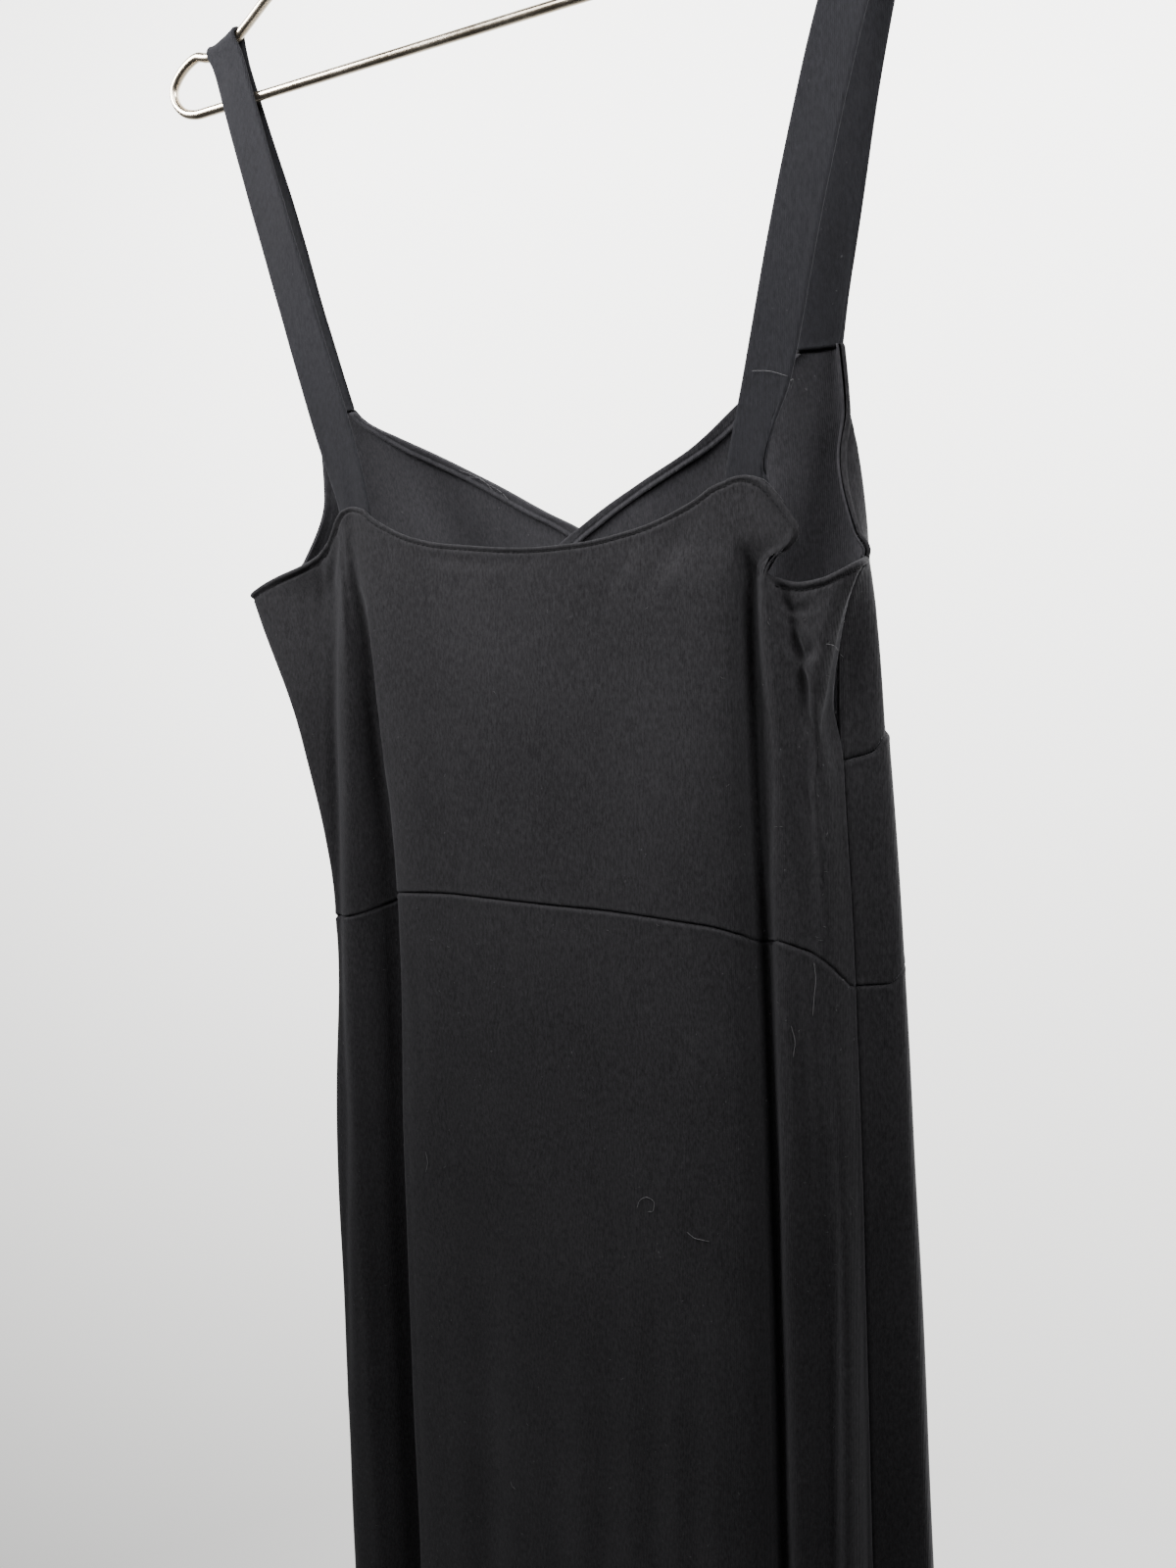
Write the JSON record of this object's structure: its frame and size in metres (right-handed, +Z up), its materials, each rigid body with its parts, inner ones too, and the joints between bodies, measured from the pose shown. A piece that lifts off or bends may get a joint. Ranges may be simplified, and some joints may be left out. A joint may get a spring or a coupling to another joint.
{
  "type": "maxi dress on wire hanger",
  "caption": "Long sleeveless jersey dress with a scoop back, a wrapped V front, shoulder straps and a flared skirt, hanging flat from a wire hanger.",
  "frame": {"origin": "inner top of the hook's bend, where the hanger hangs on a rail", "axes": "+Z up; +X along the hanger's bar, to the right of someone who looks at the scoop neck (the dress's back); -Y out of the scoop neck's side, +Y out of the V neck's side"},
  "size_m": [0.4379, 0.1085, 1.5195],
  "materials": {
    "jersey": "soft matt jersey, near black",
    "band_jersey": "soft matt jersey, turned to the inside and topstitched",
    "strap_jersey": "smooth matt jersey, near black with a blue cast",
    "hanger_wire": "polished warm nickel plate"
  },
  "bodies": {
    "root": {"back_bodice": "jersey", "front_bust_left": "jersey", "front_bust_right": "jersey", "neck_band_left": "band_jersey", "neck_band_right": "band_jersey", "armhole_band_left": "band_jersey", "armhole_band_right": "band_jersey", "front_midriff": "jersey", "back_skirt": "jersey", "front_skirt": "jersey", "strap_left": "strap_jersey", "strap_right": "strap_jersey", "hanger_frame": "hanger_wire", "hanger_hook": "hanger_wire", "hanger_collar": "hanger_wire"}
  },
  "joints": []
}
